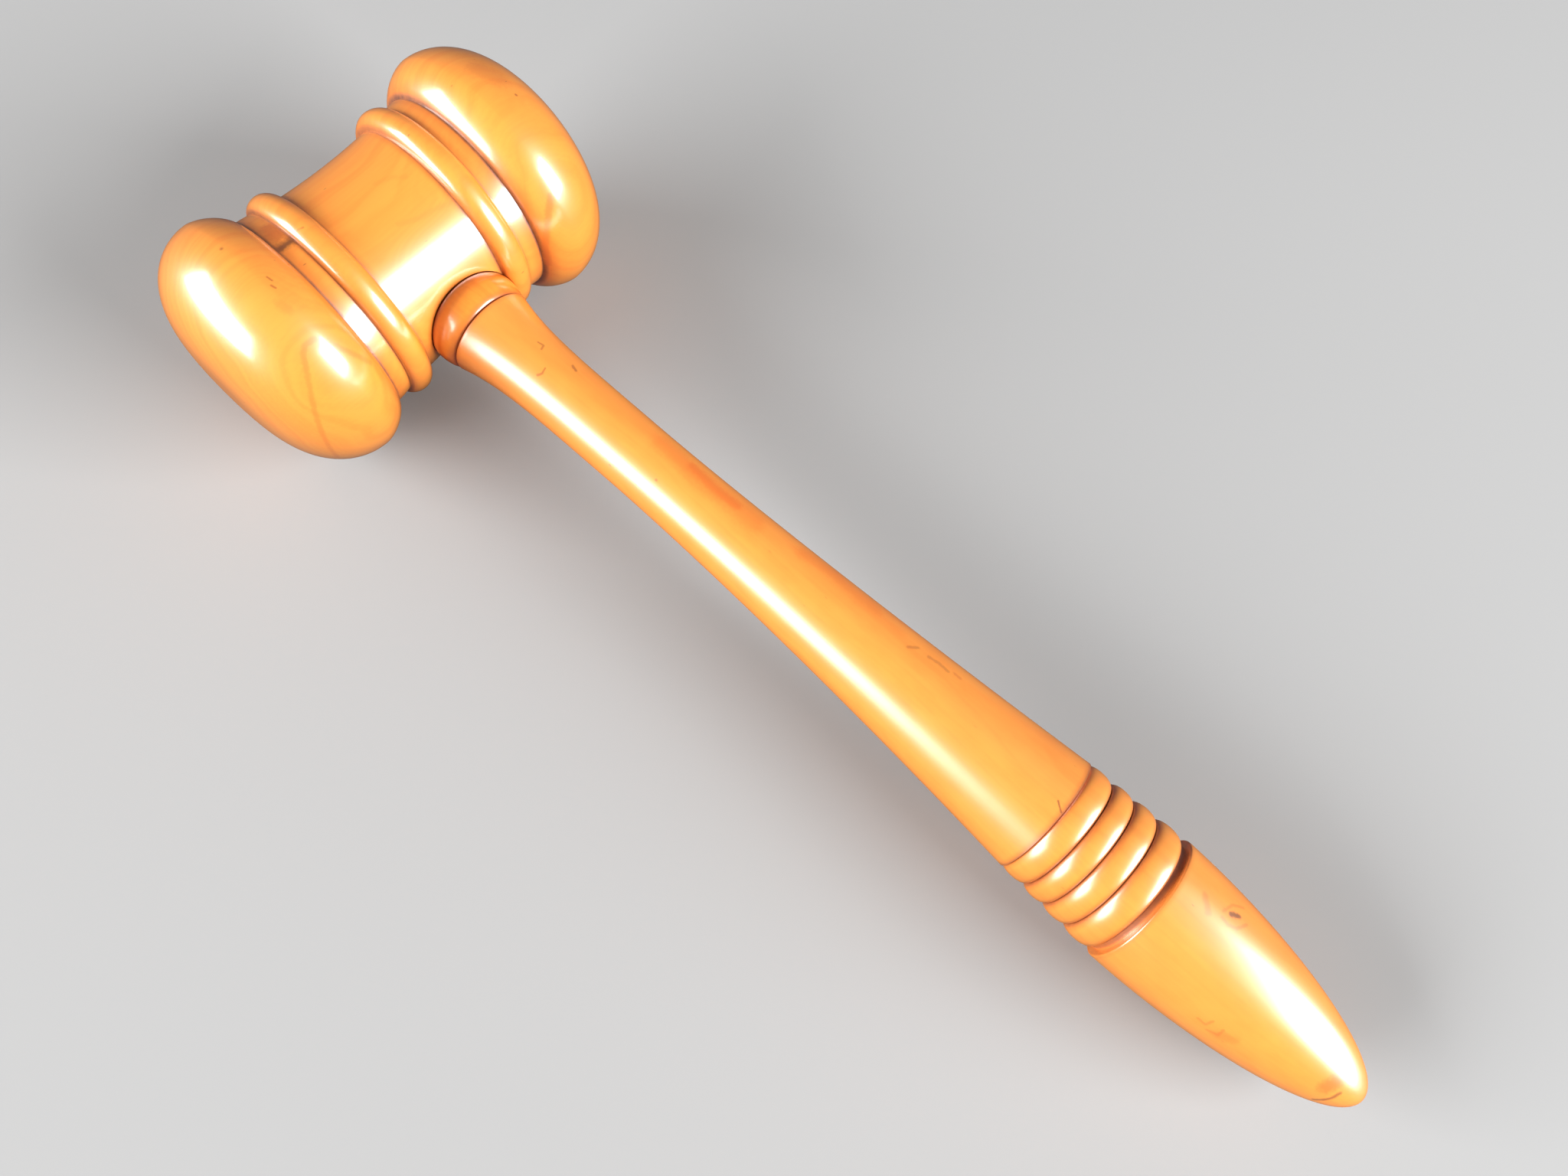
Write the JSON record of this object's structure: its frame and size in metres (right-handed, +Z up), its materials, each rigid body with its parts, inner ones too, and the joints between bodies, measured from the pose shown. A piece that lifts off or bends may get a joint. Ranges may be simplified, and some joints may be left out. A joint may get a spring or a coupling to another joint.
{
  "type": "gavel",
  "caption": "Turned wooden gavel: a round double-faced head, a loose collar ring, and a tapered beaded handle that screws through the ring into the head.",
  "frame": {"origin": "middle of the overall box at the surface that the gavel lies on", "axes": "+X along the head's axis, -Y from the head to the tip of the handle, +Z up"},
  "size_m": [0.0802, 0.2568, 0.0502],
  "materials": {
    "boxwood": "polished",
    "dark_boxwood": "polished"
  },
  "bodies": {
    "head": {"head": "boxwood"},
    "collar_ring": {"collar_ring": "dark_boxwood"},
    "handle": {"handle": "boxwood"}
  },
  "joints": [
    {"name": "collar_slide", "type": "slide", "parent": "head", "child": "collar_ring", "axis": [0, -0.998, -0.0639], "range_m": [0, 0.0151]},
    {"name": "handle_screw", "type": "hinge", "parent": "collar_ring", "child": "handle", "pos_m": [0.0018, 0.10326, 0.0251], "axis": [0, -0.998, -0.0639], "range_deg": [0, 1800]}
  ],
  "couplings": [
    {"joint": "collar_slide", "follows": "handle_screw", "m_per_rad": 0.00047746}
  ]
}
